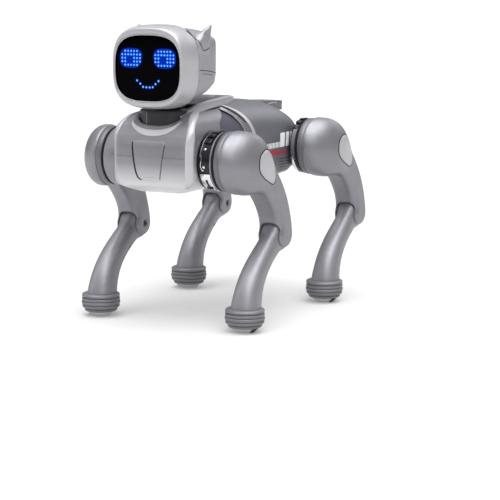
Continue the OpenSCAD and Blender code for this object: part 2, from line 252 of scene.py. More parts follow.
def skin(field, low, high, step):
    """The surface of a field as an even mesh of four-sided faces (surface nets)."""
    axes = [np.arange(low[i], high[i] + step, step) for i in range(3)]
    points = np.stack(np.meshgrid(*axes, indexing="ij"), -1)
    value = field(points.reshape(-1, 3)).reshape(points.shape[:3])
    cells = tuple(n - 1 for n in value.shape)
    total = np.zeros(cells + (3,))
    hits = np.zeros(cells)
    crossings = []
    for axis in range(3):
        a, b = others(axis)
        first = np.delete(value, -1, axis)
        second = np.delete(value, 0, axis)
        crosses = (first < 0) != (second < 0)
        crossings.append((first, crosses))
        spot = np.delete(points, -1, axis)
        spot[..., axis] += np.where(crosses, first / np.where(crosses, first - second, 1), 0) * step
        for da in (0, 1):
            for db in (0, 1):
                window = [slice(None)] * 3
                window[a] = slice(da, da + cells[a])
                window[b] = slice(db, db + cells[b])
                hit = crosses[tuple(window)]
                total += spot[tuple(window)] * hit[..., None]
                hits += hit
    active = hits > 0
    number = np.full(cells, -1)
    number[active] = np.arange(active.sum())
    corners = total[active] / hits[active][:, None]
    faces = []
    for axis, (first, crosses) in enumerate(crossings):
        a, b = others(axis)
        spot = np.argwhere(crosses)
        spot = spot[(spot[:, a] > 0) & (spot[:, b] > 0)]
        spot = spot[(spot[:, a] < cells[a]) & (spot[:, b] < cells[b])]
        ring = []
        for da, db in ((1, 1), (0, 1), (0, 0), (1, 0)):
            shifted = spot.copy()
            shifted[:, a] -= da
            shifted[:, b] -= db
            ring.append(number[tuple(shifted.T)])
        ring = np.stack(ring, 1)
        outward = (first[tuple(spot.T)] < 0) != (axis == 1)
        faces.append(np.where(outward[:, None], ring, ring[:, ::-1]))
    return settle(field, corners, rounds=3, limit=step), np.concatenate(faces).tolist()


def taken(work):
    """The shape held in a bmesh, which is freed."""
    work.verts.index_update()
    result = np.array([v.co for v in work.verts]), [[v.index for v in f.verts] for f in work.faces]
    work.free()
    return result


def cut(shape, *planes):
    """Keeps what is behind each (point, normal) plane, and closes the cut."""
    work = bmesh.new()
    corners = [work.verts.new(corner) for corner in shape[0]]
    for face in shape[1]:
        work.faces.new([corners[i] for i in face])
    for point, normal in planes:
        parts = work.verts[:] + work.edges[:] + work.faces[:]
        made = bmesh.ops.bisect_plane(work, geom=parts, plane_co=point, plane_no=normal, clear_outer=True)
        rim = [edge for edge in made["geom_cut"] if isinstance(edge, bmesh.types.BMEdge)]
        bmesh.ops.triangle_fill(work, edges=rim, use_beauty=True)
    return taken(work)


def merge(*shapes):
    corners, faces, count = [], [], 0
    for shape in shapes:
        corners.append(np.asarray(shape[0], float))
        faces += [[i + count for i in face] for face in shape[1]]
        count += len(shape[0])
    return np.concatenate(corners), faces


def moved(shape, offset):
    return np.asarray(shape[0]) + np.array(offset, float), shape[1]


def mirrored(shape):
    return np.asarray(shape[0]) * (-1, 1, 1), [face[::-1] for face in shape[1]]


def both(shape):
    return merge(shape, mirrored(shape))


def loft(rings, wrap=False):
    """Joins rings of the same number of points; wrap joins the last ring to the first."""
    rings = [np.asarray(ring, float) for ring in rings]
    size = len(rings[0])
    faces = []
    for i in range(len(rings) - (0 if wrap else 1)):
        near = i * size
        far = (i + 1) % len(rings) * size
        faces += [[near + k, near + (k + 1) % size, far + (k + 1) % size, far + k] for k in range(size)]
    if not wrap:
        faces.append(list(range(size))[::-1])
        faces.append([(len(rings) - 1) * size + k for k in range(size)])
    return np.concatenate(rings), faces


def lathe(profile, centre, axis="x", start=0.0, end=360.0, steps=72):
    """Turns a closed outline of (radius, height) points round an axis through centre.
    Angles run from +Y towards +Z round the x axis, and from +X towards +Y round the z axis."""
    whole = abs(end - start) >= 360
    angles = np.radians(np.linspace(start, end, steps + 1))
    angles = angles[:-1] if whole else angles
    radius, height = np.array(profile, float).T
    rings = []
    for angle in angles:
        u, v = radius * math.cos(angle), radius * math.sin(angle)
        ring = (height, u, v) if axis == "x" else (u, v, height)
        rings.append(np.stack(ring, 1) + centre)
    return loft(rings, wrap=whole)


def run_along(points):
    """How far along a line of points each one is."""
    return np.concatenate([[0], np.cumsum(np.linalg.norm(np.diff(points, axis=0), axis=1))])


def smooth_path(points, count):
    """A smooth path of count points through the given ones."""
    points = np.array(points, float)
    reach = run_along(points)
    at = np.linspace(0, reach[-1], count)
    return np.stack([through(*zip(reach, points[:, k]))(at) for k in range(3)], 1)


def tube(path, radius, sides=8, closed=False):
    """A round bar along a path; radius is a number or one for each point."""
    path = np.asarray(path, float)
    radius = np.broadcast_to(radius, len(path))
    if closed:
        tangent = np.roll(path, -1, 0) - np.roll(path, 1, 0)
    else:
        tangent = np.gradient(path, axis=0)
    tangent = unit(tangent)
    side = np.cross(tangent[0], (0.3, 0.5, 0.8))
    rings = []
    turn = np.linspace(0, 2 * np.pi, sides, endpoint=False)
    for i, spot in enumerate(path):
        side = side - (side @ tangent[i]) * tangent[i]
        side /= np.linalg.norm(side)
        up = np.cross(tangent[i], side)
        rings.append(spot + radius[i] * (np.cos(turn)[:, None] * side + np.sin(turn)[:, None] * up))
    return loft(rings, wrap=closed)


BAND_SECTION = (
    (-1.0, -1.0), (-1.0, 0.45), (-0.84, 1.0), (-0.4, 1.0), (0.0, 1.0), (0.4, 1.0), (0.84, 1.0), (1.0, 0.45),
    (1.0, -1.0),
)


def ribbon(field, path, width, height):
    """A raised band along a path on a surface, with a width for each point. Its foot is 1 mm under it."""
    path = settle(field, path)
    side = unit(np.cross(np.gradient(path, axis=0), unit(slope_of(field, path))))
    columns = []
    for across, level in BAND_SECTION:
        spots = path + side * (across * width / 2)[:, None]
        columns.append(settle(field, spots, level * height if level > 0 else level))
    return loft(list(np.stack(columns, 1)))


HALVINGS = 26


def drop(field, u, v, axis, start, stop, level):
    """Where a line along an axis, from start outside to stop inside, first meets the field's level."""
    across = others(axis)
    outer = np.full(len(u), float(start))
    inner = np.full(len(u), float(stop))
    spots = np.zeros((len(u), 3))
    spots[:, across[0]] = u
    spots[:, across[1]] = v
    for _ in range(HALVINGS):
        spots[:, axis] = (outer + inner) / 2
        out = field(spots) > level
        outer = np.where(out, spots[:, axis], outer)
        inner = np.where(out, inner, spots[:, axis])
    spots[:, axis] = (outer + inner) / 2
    return spots


def patch(field, outline, axis, start, stop, height, sunk=0.8, bevel=0.5, rings=6):
    """A raised plate on a surface, with an outline given in the plane that faces an axis."""
    outline = np.array(outline, float)
    centre = outline.mean(0)
    reach = np.linalg.norm(outline - centre, axis=1).mean()
    inner = 1 - bevel / reach
    stack = []
    for share in np.linspace(0.02, inner, rings):
        flat = centre + (outline - centre) * share
        stack.append(drop(field, *flat.T, axis, start, stop, height))
    stack.append(drop(field, *outline.T, axis, start, stop, height * 0.45))
    stack.append(drop(field, *outline.T, axis, start, stop, -sunk))
    return loft(stack)


def rounded(corners, radius, steps=5):
    """A polygon with its corners rounded, as a list of points."""
    corners = np.array(corners, float)
    radius = np.broadcast_to(radius, len(corners))
    points = []
    for i, corner in enumerate(corners):
        before = corners[i - 1] - corner
        after = corners[(i + 1) % len(corners)] - corner
        start = corner + before * min(0.45, radius[i] / np.linalg.norm(before))
        end = corner + after * min(0.45, radius[i] / np.linalg.norm(after))
        for t in np.linspace(0, 1, steps):
            points.append((1 - t) ** 2 * start + 2 * t * (1 - t) * corner + t * t * end)
    return np.array(points)


def resampled(outline, count):
    """The same closed outline with count evenly spaced points."""
    outline = np.concatenate([outline, outline[:1]])
    reach = run_along(outline)
    at = np.linspace(0, reach[-1], count, endpoint=False)
    return np.stack([np.interp(at, reach, outline[:, k]) for k in range(2)], 1)


def squircle_outline(centre, a, b, power, count):
    turn = np.linspace(0, 2 * np.pi, count, endpoint=False)
    u = a * np.sign(np.cos(turn)) * np.abs(np.cos(turn)) ** (2 / power)
    v = b * np.sign(np.sin(turn)) * np.abs(np.sin(turn)) ** (2 / power)
    return np.stack([u + centre[0], v + centre[1]], 1)


ORIGIN = (0, 0, 0)


def block(low, high, bevel):
    """A box with bevelled edges."""
    low, high = np.array(low, float), np.array(high, float)
    work = bmesh.new()
    bmesh.ops.create_cube(work, size=1)
    for vert in work.verts:
        vert.co = [(low[k] + high[k]) / 2 + vert.co[k] * (high[k] - low[k]) for k in range(3)]
    bmesh.ops.bevel(work, geom=work.edges[:], offset=bevel, segments=2, affect="EDGES", profile=0.5)
    return taken(work)


def turned_about(shape, centre, axis, degrees):
    """The shape turned about a line through centre along the x, y or z axis."""
    angle = math.radians(degrees)
    a, b = others(axis)
    if axis == 1:
        a, b = b, a
    spots = np.asarray(shape[0], float) - centre
    result = spots.copy()
    result[:, a] = spots[:, a] * math.cos(angle) - spots[:, b] * math.sin(angle)
    result[:, b] = spots[:, a] * math.sin(angle) + spots[:, b] * math.cos(angle)
    return result + centre, shape[1]


SHARP_FROM = math.radians(32)


def piece(name, shape, body, coat, stands_for=()):
    """Makes a Blender object of a shape and lets it ride on a body."""
    mesh = bpy.data.meshes.new(name)
    mesh.from_pydata((np.asarray(shape[0]) * MM).tolist(), [], shape[1])
    work = bmesh.new()
    work.from_mesh(mesh)
    bmesh.ops.remove_doubles(work, verts=work.verts[:], dist=1e-7)
    bmesh.ops.dissolve_degenerate(work, edges=work.edges[:], dist=1e-7)
    bmesh.ops.recalc_face_normals(work, faces=work.faces[:])
    work.to_mesh(mesh)
    work.free()
    mesh.shade_smooth()
    mesh.set_sharp_from_angle(angle=SHARP_FROM)
    mesh.materials.append(coat)
    thing = bpy.data.objects.new(name, mesh)
    scene.collection.objects.link(thing)
    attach(thing, body)
    if stands_for:
        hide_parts(*stands_for)
    return thing


# ---------- materials ----------


def new_material(name):
    material = bpy.data.materials.new(name)
    material.use_nodes = True
    tree = material.node_tree
    return material, tree, tree.nodes["Principled BSDF"]


def preset(node, values):
    for name, value in values.items():
        node.inputs[name].default_value = value


def object_place(tree):
    """Where a point is on its own object, in metres."""
    return tree.nodes.new("ShaderNodeTexCoord").outputs["Object"]


def noise(tree, scale, detail):
    node = tree.nodes.new("ShaderNodeTexNoise")
    preset(node, {"Scale": scale, "Detail": detail})
    tree.links.new(object_place(tree), node.inputs["Vector"])
    return node.outputs["Fac"]


def spread(tree, value, low, high, from_low=0.3, from_high=0.7):
    """Maps a texture's value onto a range."""
    node = tree.nodes.new("ShaderNodeMapRange")
    preset(node, {"From Min": from_low, "From Max": from_high, "To Min": low, "To Max": high})
    tree.links.new(value, node.inputs["Value"])
    return node.outputs["Result"]


def blended(tree, factor, first, second):
    node = tree.nodes.new("ShaderNodeMix")
    node.data_type = "RGBA"
    preset(node, {"A": (*first, 1), "B": (*second, 1)})
    tree.links.new(factor, node.inputs["Factor"])
    return node.outputs["Result"]


def bumped(tree, shader, height, strength, depth):
    node = tree.nodes.new("ShaderNodeBump")
    preset(node, {"Strength": strength, "Distance": depth})
    tree.links.new(height, node.inputs["Height"])
    tree.links.new(node.outputs["Normal"], shader.inputs["Normal"])


def moulded(name, colour, rough, metal=0.0, grain=1400, bump=0.08, mottle=0.04, shine=0.5):
    """Moulded or painted plastic, or plated metal: fine grain, slight mottling and uneven gloss."""
    material, tree, shader = new_material(name)
    dark = [c * (1 - mottle) for c in colour]
    light = [min(1, c * (1 + mottle)) for c in colour]
    broad = spread(tree, noise(tree, 45, 4), 0, 1)
    tree.links.new(blended(tree, broad, dark, light), shader.inputs["Base Color"])
    gloss = spread(tree, noise(tree, 260, 3), max(rough - 0.05, 0.02), rough + 0.05)
    tree.links.new(gloss, shader.inputs["Roughness"])
    bumped(tree, shader, noise(tree, grain, 2), bump, 0.00012)
    preset(shader, {"Metallic": metal, "Specular IOR Level": shine})
    return material


def lit_from_below(name, colour, light, low, high, rough, metal):
    """Moulded plastic with painted light: its tint lightens from one height down to another, both in metres,
    standing in for light from the white floor on the underside.
    """
    material = moulded(name, colour, rough, metal)
    tree = material.node_tree
    base = tree.nodes["Principled BSDF"].inputs["Base Color"]
    split = tree.nodes.new("ShaderNodeSeparateXYZ")
    tree.links.new(object_place(tree), split.inputs["Vector"])
    share = spread(tree, split.outputs["Z"], 1, 0, low, high)
    mix = blended(tree, share, colour, light)
    tree.links.new(base.links[0].from_socket, mix.node.inputs["A"])
    tree.links.new(mix, base)
    return material


def board_coat(name):
    """Green solder mask with a fine net of copper tracks under it."""
    material, tree, shader = new_material(name)
    cells = tree.nodes.new("ShaderNodeTexVoronoi")
    cells.feature = "DISTANCE_TO_EDGE"
    cells.distance = "MANHATTAN"
    preset(cells, {"Scale": 260})
    tree.links.new(object_place(tree), cells.inputs["Vector"])
    track = spread(tree, cells.outputs["Distance"], 1, 0, 0.04, 0.09)
    tint = blended(tree, track, (0.01, 0.09, 0.03), (0.05, 0.25, 0.09))
    tree.links.new(tint, shader.inputs["Base Color"])
    bumped(tree, shader, track, 0.4, 0.0001)
    preset(shader, {"Roughness": 0.3})
    return material


def glowing(name, colour, strength):
    """A light behind a diffusing window, a little uneven."""
    material, tree, shader = new_material(name)
    material.cycles.emission_sampling = "NONE"
    uneven = spread(tree, noise(tree, 900, 2), strength * 0.85, strength * 1.15)
    tree.links.new(uneven, shader.inputs["Emission Strength"])
    base = (*[c * 0.02 for c in colour], 1)
    preset(shader, {"Emission Color": (*colour, 1), "Base Color": base})
    preset(shader, {"Roughness": 0.4, "Specular IOR Level": 0.03})
    return material


LEG_GREY = moulded("leg_grey", (0.25, 0.25, 0.272), 0.44, metal=0.7)
# Painted light: a lighter copy of the leg grey for the shanks, standing in for how brightly they are lit.
SHANK_LIT_GREY = moulded("shank_grey_lit", (0.28, 0.28, 0.305), 0.47, metal=0.6)
# Painted shade: a darker copy of the leg grey for the hip ring, standing in for the shade on the band next to
# the hip seam.
RING_SHADED_GREY = moulded("ring_grey_shaded", (0.155, 0.155, 0.17), 0.42, metal=0.45)
CAP_GREY = moulded("cap_grey", (0.44, 0.44, 0.46), 0.45, metal=0.3)
FOOT_GREY = moulded("foot_grey", (0.18, 0.18, 0.195), 0.46, metal=0.3, grain=900, bump=0.15)
TIP_GREY = moulded("tip_grey", (0.55, 0.55, 0.56), 0.4, metal=0.2)
SOLE_RUBBER = moulded("sole_rubber", (0.015, 0.015, 0.016), 0.7, grain=700, bump=0.3, mottle=0.2)
HEAD_SILVER = moulded("head_silver", (0.44, 0.44, 0.46), 0.38, metal=0.45)
# Painted shade: a darker copy of the head silver for the rear shell, standing in for the shade away from the
# front light.
HEAD_REAR_SHADED = moulded("head_rear_silver_shaded", (0.31, 0.31, 0.335), 0.40, metal=0.45)
CHEST_GREY = moulded("chest_grey", (0.235, 0.235, 0.255), 0.40, metal=0.5)
# Painted light: the lower chest lightens towards the bottom, standing in for light from the white floor.
CHEST_LOW_FLOOR_LIT = lit_from_below("chest_low", (0.245, 0.245, 0.265), (0.74, 0.74, 0.75), 0.130, 0.157, 0.38, 0.4)
RIM_GREY = moulded("rim_grey", (0.36, 0.36, 0.385), 0.38, metal=0.5)
GUNMETAL = moulded("gunmetal", (0.158, 0.16, 0.18), 0.42, metal=0.45)
BRIGHT_TRIM = moulded("bright_trim", (0.50, 0.50, 0.53), 0.38, metal=0.4)
CHROME = moulded("chrome_plate", (0.78, 0.78, 0.80), 0.16, metal=1.0, bump=0.04, mottle=0.03)
GLOSS_BLACK = moulded("gloss_black", (0.012, 0.012, 0.015), 0.2, bump=0.03, mottle=0.2, shine=0.3)
NECK_BLACK = moulded("neck_black", (0.018, 0.018, 0.024), 0.34, bump=0.04, mottle=0.15, shine=0.35)
SCREEN_BLACK = moulded("screen_black", (0.0006, 0.0006, 0.0009), 0.16, bump=0.01, mottle=0.2, shine=0.02)
SCOOP_DARK = moulded("scoop_dark", (0.085, 0.082, 0.112), 0.6, mottle=0.08, shine=0.25)
INNER_BLACK = moulded("inner_plastic", (0.02, 0.02, 0.022), 0.5, mottle=0.15)
SEAM_BLACK = moulded("seam_shadow", (0.010, 0.010, 0.012), 0.7, mottle=0.2, shine=0.2)
BATTERY_BLUE = moulded("battery_wrap", (0.03, 0.10, 0.40), 0.3, grain=500, mottle=0.12)
STEEL = moulded("steel", (0.50, 0.50, 0.51), 0.3, metal=1.0, grain=2200)
WHITE_PRINT = moulded("white_print", (0.80, 0.80, 0.80), 0.5, grain=1800)
RED_PRINT = moulded("red_print", (0.40, 0.018, 0.03), 0.5, grain=1800, mottle=0.1)
CIRCUIT = board_coat("circuit_board")
LED_BLUE = glowing("led_blue", (0.005, 0.14, 1.0), 1.15)
LED_CORE = glowing("led_core", (0.30, 0.75, 1.0), 1.2)
LED_GLOW = glowing("led_glow", (0.0, 0.025, 0.42), 1.0)

# ---------- leg ----------

HIP_FLAT = HIP[1:]
KNEE_FLAT = KNEE[1:]
KNEE_BACK, KNEE_DOWN = KNEE_FLAT - HIP_FLAT
AT_HIP = (0, *HIP_FLAT)
FOOT_AHEAD = FOOT[1] - KNEE_FLAT[0]
THIGH_CURVE = [(12, -4), (40, -24), (KNEE_BACK, -46), (KNEE_BACK, KNEE_DOWN)]
SHANK_CURVE = [(0, 0.5), (-18, -14), (FOOT_AHEAD + 6, -27), (FOOT_AHEAD + 1.5, -66)]
shank_half = through((0, 13.6), (0.18, 12.0), (0.4, 11.0), (0.65, 11.6), (0.85, 13.0), (1, 14.2))
shank_thick = through((-66, 14.2), (-44, 12.3), (-18, 10.6), (-4, 9.7), (14, 9.7))
thigh_half = through((0, 17), (0.5, 14.4), (0.8, 13.5), (1, 14.6))
RING_END = SEAM_X + 6.2
POD_MIDDLE = 74.0
POD_END = LEG_X + LIMB_T / 2 + 0.6
CHEEK_T = 3.4
HEEL_R = 13.4
KNUCKLE_R = 15.0
ARCH_R = 16.3
SHANK_HOLE = KNEE_FLAT + (-24, -21)
pod_radius = through((RING_END, 28.9), (RING_END + 3, 29.6), (POD_MIDDLE, 29.8), (POD_END, 29.8))


def knee_slot(x, flat):
    """The fork's opening round the shank: arched in front, with round upper corners."""
    v, w = (flat - KNEE_FLAT).T
    arch = np.hypot(v, w) - ARCH_R
    front = np.maximum(np.maximum(v, w - 11.5), np.maximum(-40 - v, -40 - w))
    below = np.maximum(np.maximum(w, -40 - w), np.maximum(-20 - v, v - 40))
    outline = np.minimum(np.minimum(arch, front), below)
    return rounded_pair(outline, np.abs(x - LEG_X) - (LIMB_T / 2 - CHEEK_T), 7.0)


def pod_field(spots):
    """The dome over the hip, whose middle drifts as it leaves the seam."""
    x = spots[:, 0]
    v, w = (spots[:, 1:] - HIP_FLAT).T
    drift = ease((x - SEAM_X - 4) / 30)
    across = np.hypot(v - 10 * drift, w + 2.2 * drift)
    size = pod_radius(x)
    reach = np.clip((x - POD_MIDDLE) / (POD_END - POD_MIDDLE), 0, None)
    return (((across / size) ** 2.6 + reach**2.6) ** (1 / 2.6) - 1) * size


def thigh_field(spots):
    """Pod, thigh and the fork round the shank's knuckle."""
    x = spots[:, 0]
    flat = spots[:, 1:]
    far, place = along_curve(flat - HIP_FLAT, THIGH_CURVE)
    heel = np.hypot(*(flat - KNEE_FLAT - (-3.5, -1.0)).T) - HEEL_R
    band = join(far - thigh_half(place), heel, 2.0)
    limb = rounded_pair(band, np.abs(x - LEG_X) - LIMB_T / 2, 8.5)
    whole = join(limb, pod_field(spots), 9)
    whole = common(whole, RING_END + 0.2 - x, 1.2)
    whole = common(whole, -knee_slot(x, flat), 2.2)
    hole = rounded_pair(np.hypot(*(flat - KNEE_FLAT).T) - 3.0, x - (LEG_X - LIMB_T / 2 + 2.2), 0.3)
    return common(whole, -hole, 0.5)


def shank_field(spots):
    """The shank, from its knuckle down into the foot."""
    x = spots[:, 0] - LEG_X
    flat = spots[:, 1:]
    far, place = along_curve(flat - KNEE_FLAT, SHANK_CURVE)
    half = shank_half(place)
    thick = shank_thick(flat[:, 1] - KNEE_FLAT[1])
    power = 2.35
    body = ((far / half) ** power + np.abs(x / thick) ** power) ** (1 / power)
    body = (body - 1) * np.minimum(half, thick)
    knuckle = rounded_pair(np.hypot(*(flat - KNEE_FLAT).T) - KNUCKLE_R, np.abs(x) - 9.75, 5.5)
    body = join(body, knuckle, 4)
    body = np.maximum(body, FOOT_TOP - 0.8 - flat[:, 1])
    hole = np.maximum(np.hypot(*(flat - SHANK_HOLE).T) - 1.6, x + 7.5)
    return common(body, -hole, 0.4)


def boot_shape():
    """The ribbed collar of the foot, over a shallow cone."""
    ribs, first, pitch = 4, 5.0, 3.35
    girth = through((5, 13.6), (8, 16.2), (11, FOOT_R - 1.0), (14, FOOT_R - 0.7), (18, FOOT_R - 1.2))
    profile = [(0.05, 3.6), (13.4, 4.6)]
    for rib in range(ribs):
        middle = first + (rib + 0.5) * pitch
        for turn in np.radians([-80, -50, -20, 20, 50, 80]):
            profile.append((girth(middle) + 0.95 * math.cos(turn), middle + 0.46 * pitch * math.sin(turn)))
        profile.append((girth(middle + pitch / 2) - 0.35, middle + pitch / 2))
    lip_r, lip_z = 16.2, FOOT_TOP - 2.2
    for turn in np.radians([-75, -45, -15, 15, 45, 75, 100]):
        profile.append((lip_r + 2.4 * math.cos(turn), lip_z + 2.1 * math.sin(turn)))
    profile.append((0.05, FOOT_TOP - 0.6))
    return lathe(profile, (LEG_X, FOOT[1], 0), "z", steps=80)


def tip_shape():
    """The pale cone that the foot stands on."""
    profile = [(0.05, 0.5), (8.4, 0.5), (9.4, 0.9), (10.0, 1.8), (13.0, 4.4), (13.0, 5.4), (0.05, 5.4)]
    return lathe(profile, (LEG_X, FOOT[1], 0), "z", steps=64)


def pad_shape():
    """The rubber sole, with a tongue that wraps up the cone on its outer side."""
    low, high = box("front_left_sole_pad")
    centre = ((low[0] + high[0]) / 2, (low[1] + high[1]) / 2, 0)
    radius = (high[0] - low[0]) / 2
    sole = [(0.05, 0), (radius - 0.8, 0), (radius, 0.5), (radius, 1.6), (0.05, 1.6)]
    tongue = [(6.0, 0.25), (9.0, 0.25), (10.3, 1.3), (13.6, 4.5), (12.4, 4.7), (6.0, 1.6)]
    tongue = lathe(tongue, (LEG_X, FOOT[1], 0), "z", start=-30, end=20, steps=12)
    return merge(lathe(sole, centre, "z", steps=40), tongue)


def ring_shape():
    """The plain band between the hip seam and the dome."""
    inner = SEAM_X + 0.45
    profile = [
        (24, inner), (27.4, inner), (28.2, inner + 0.7), (28.5, inner + 2.4), (28.6, RING_END - 1.0),
        (28.1, RING_END), (27.4, RING_END + 0.9), (20, RING_END + 0.9), (20, RING_END - 1.5),
        (24, RING_END - 1.5),
    ]
    return lathe(profile, AT_HIP, steps=96)


CAP_CORNERS = [
    (12, 12.5), (23, 9.5), (28.5, -1), (33.5, -15), (32.5, -20), (28, -22), (9, -14.5), (-1, -7), (0.5, 6),
]
CAP_ROUND = [7, 7, 6, 4, 3, 4, 7, 7, 7]


def cap_outline(scale=1.0):
    outline = resampled(rounded(np.array(CAP_CORNERS) + HIP_FLAT, CAP_ROUND), 72)
    centre = outline.mean(0)
    return centre + (outline - centre) * scale


def cap_shape():
    return patch(thigh_field, cap_outline(), 0, 120, LEG_X, 0.75, sunk=1.2, bevel=0.7, rings=8)


def cap_gap_shape():
    rim = drop(thigh_field, *cap_outline(1.03).T, 0, 120, LEG_X, 0.02)
    return tube(rim, 0.42, sides=6, closed=True)


def pin_shape():
    """The knee's screw head in the inner cheek, with its pin through the fork."""
    low_x = LEG_X - LIMB_T / 2 + 1.2
    profile = [
        (0.05, low_x + 0.9), (0.9, low_x + 0.9), (1.1, low_x), (2.1, low_x), (2.5, low_x + 0.4),
        (2.5, low_x + 1.4), (1.9, low_x + 1.6), (1.9, LEG_X + LIMB_T / 2 - 2), (0.05, LEG_X + LIMB_T / 2 - 2),
    ]
    return lathe(profile, (0, *KNEE_FLAT), steps=28)


def screw_shape(x, y, z, radius):
    """A dark sunk screw whose head faces the body."""
    socket = [(0.05, x + 0.5), (radius * 0.35, x + 0.5), (radius * 0.45, x)]
    return lathe([*socket, (radius, x), (radius, x + 0.8), (0.05, x + 0.8)], (0, y, z), steps=20)


def seam_shape():
    """The black gap where the hip turns."""
    near, far = SEAM_X - 1.1, SEAM_X + 0.5
    return lathe([(20, near), (27.8, near), (28.0, SEAM_X), (27.6, far), (20, far)], AT_HIP, steps=80)


def build_legs():
    step = 1.15
    low = (RING_END - 2, HIP[1] - 34, KNEE[2] - 16)
    thigh = skin(thigh_field, low, (POD_END + 2, KNEE[1] + 17, HIP[2] + 34), step)
    low = (LEG_X - 19, FOOT[1] - 19, FOOT_TOP - 3)
    shank = skin(shank_field, low, (LEG_X + 19, KNEE[1] + 15, KNEE[2] + 16), step)
    boot_screw = screw_shape(LEG_X - FOOT_R + 0.1, FOOT[1], 13, 1.6)
    shank_screw = screw_shape(LEG_X - 9.0, *SHANK_HOLE, 1.5)
    rows = (
        ("thigh", thigh, "thigh", LEG_GREY, "leg_grey", ("thigh_shell",)),
        # the hip ring wears the darker copy of the leg grey: painted shade
        ("hip_ring", ring_shape(), "thigh", RING_SHADED_GREY, "leg_grey", ()),
        ("hip_seam", seam_shape(), "thigh", SEAM_BLACK, "inner_plastic", ()),
        ("cap", cap_shape(), "thigh", CAP_GREY, "cap_grey", ("hip_cap",)),
        ("cap_gap", cap_gap_shape(), "thigh", SEAM_BLACK, "inner_plastic", ()),
        ("knee_screw", pin_shape(), "thigh", INNER_BLACK, "steel", ("knee_pin",)),
        # the shank wears the lighter copy of the leg grey: painted light
        ("shank", shank, "shank", SHANK_LIT_GREY, "leg_grey", ("shank_shell",)),
        ("boot", boot_shape(), "shank", FOOT_GREY, "foot_grey", ("foot_boot",)),
        ("boot_tip", tip_shape(), "shank", TIP_GREY, "foot_grey", ()),
        ("boot_screws", merge(boot_screw, shank_screw), "shank", INNER_BLACK, "steel", ()),
        ("sole", pad_shape(), "shank", SOLE_RUBBER, "sole_rubber", ("sole_pad",)),
    )
    for leg in LEGS:
        for name, shape, limb, coat, slot, nodes in rows:
            placed = moved(shape, (0, BACK[leg], 0))
            if SIDE[leg] < 0:
                placed = mirrored(placed)
            stands_for = [f"{leg}_{node}" for node in nodes]
            piece(f"{leg}_{name}_visual", placed, f"{leg}_{limb}", coat, stands_for)


build_legs()

# ---------- torso fields: outlines are in y and z, x and z, or x and y ----------

FLANK_FRONT = -55.0
CHEST_REAR = -57.0
CHEST_SEAM_Z = 163.0
body_half = through((-60, 50), (20, 50.5), (45, 50), (60, 49), (72, 46.5), (80, 42), (88, 33))
body_top = through((-60, 209.0), (0, 208.8), (20, 207.5), (45, 203.8), (60, 198.6), (74, 192.2), (88, 179))
body_low = through((-60, 126), (40, 126), (58, 129), (72, 136), (80, 143), (88, 153))


def barrel(spots):
    """The body behind the chest, squarer in its lower half."""
    x, y, z = spots.T
    top, low = body_top(y), body_low(y)
    rise = z - (top + low) / 2
    power = 2.7 + 2.0 * ease(-rise / 20)
    outline = squircle(x, rise, body_half(y), (top - low) / 2, power)
    return common(outline, y - 86.5, 9)


CHEST_SIDE = [
    (-40, 137), (-118, 137), (-127, 142), (-130.5, 150), (-131.5, 160), (-130.5, 170), (-127, 177.5),
    (-122, 185.5), (-113, 192.3), (-100, 197), (-84, 199.2), (-40, 199.6),
]
CHEST_FRONT = [
    (28.5, 150), (25, 145), (17, 142.6), (-17, 142.6), (-25, 145), (-28.5, 150),
    (-29, 179), (-25.5, 187), (-12, 192.6), (12, 192.6), (25.5, 187), (29, 179),
]
CHEST_PLAN = [
    (0, -136.6), (18, -136.3), (33.5, -134.8), (40, -127.5), (40, -30),
    (-40, -30), (-40, -127.5), (-33.5, -134.8), (-18, -136.3),
]


def chest(spots):
    """The whole chest: its side, front and plan outlines, each with round edges, in common."""
    x, y, z = spots.T
    side = polygon_field(y, z, CHEST_SIDE) - 10
    front = polygon_field(x, z, CHEST_FRONT) - 16
    plan = polygon_field(x, y, CHEST_PLAN) - 5
    return common(common(side, front, 4), plan, 3)


SCOOP_WALL_X = 27.5
HIP_CUT_R = 27.6
SCOOP = [
    (-52, 218), (-52.5, 206.5), (-58.5, 203), (-64.5, 200), (-72.5, 195.5), (-79, 191), (-81.5, 187),
    (-82.5, 180), (-82.5, 172), (-40, 172), (-40, 218),
]


def chest_shell(spots):
    """The chest with its shoulder scoops, the round cuts for the front hips and the neck's hole."""
    x, y, z = spots.T
    scoop = np.maximum(polygon_field(y, z, SCOOP), SCOOP_WALL_X - np.abs(x))
    hip = np.hypot(y - HIP[1], z - HIP[2]) - HIP_CUT_R
    hip = np.maximum(hip, 43 - np.abs(x))
    neck = squircle(x, y - NECK[1], 26.2, 25.2, 2.8) + np.maximum(0, 170 - z)
    return common(common(common(chest(spots), -scoop, 0.8), -hip, 0.8), -neck, 1.0)


LINING_DEPTH = 4.9
LINING_FALL = 4.2
ARC_Z = np.array([172.0, 178.0, 184.0, 188.0, 193.0, 198.0, 203.0, 208.0])
ARC_Y = np.array([-29.0, -30.5, -33.0, -35.5, -39.5, -44.0, -49.0, -54.0])
FLANK_SCOOP = [*zip(ARC_Y, ARC_Z), (-56, 214), (-80, 214), (-80, 172)]


def flank_shell(spots):
    """The barrel with its front edge cut back along the scoops' arcs."""
    x, y, z = spots.T
    scoop = np.maximum(polygon_field(y, z, FLANK_SCOOP), 25 - np.abs(x))
    return common(barrel(spots), -scoop, 0.6)


def torso(spots):
    """Chest and barrel together, for what lies across both."""
    return np.minimum(chest(spots), barrel(spots))


# ---------- torso pieces ----------


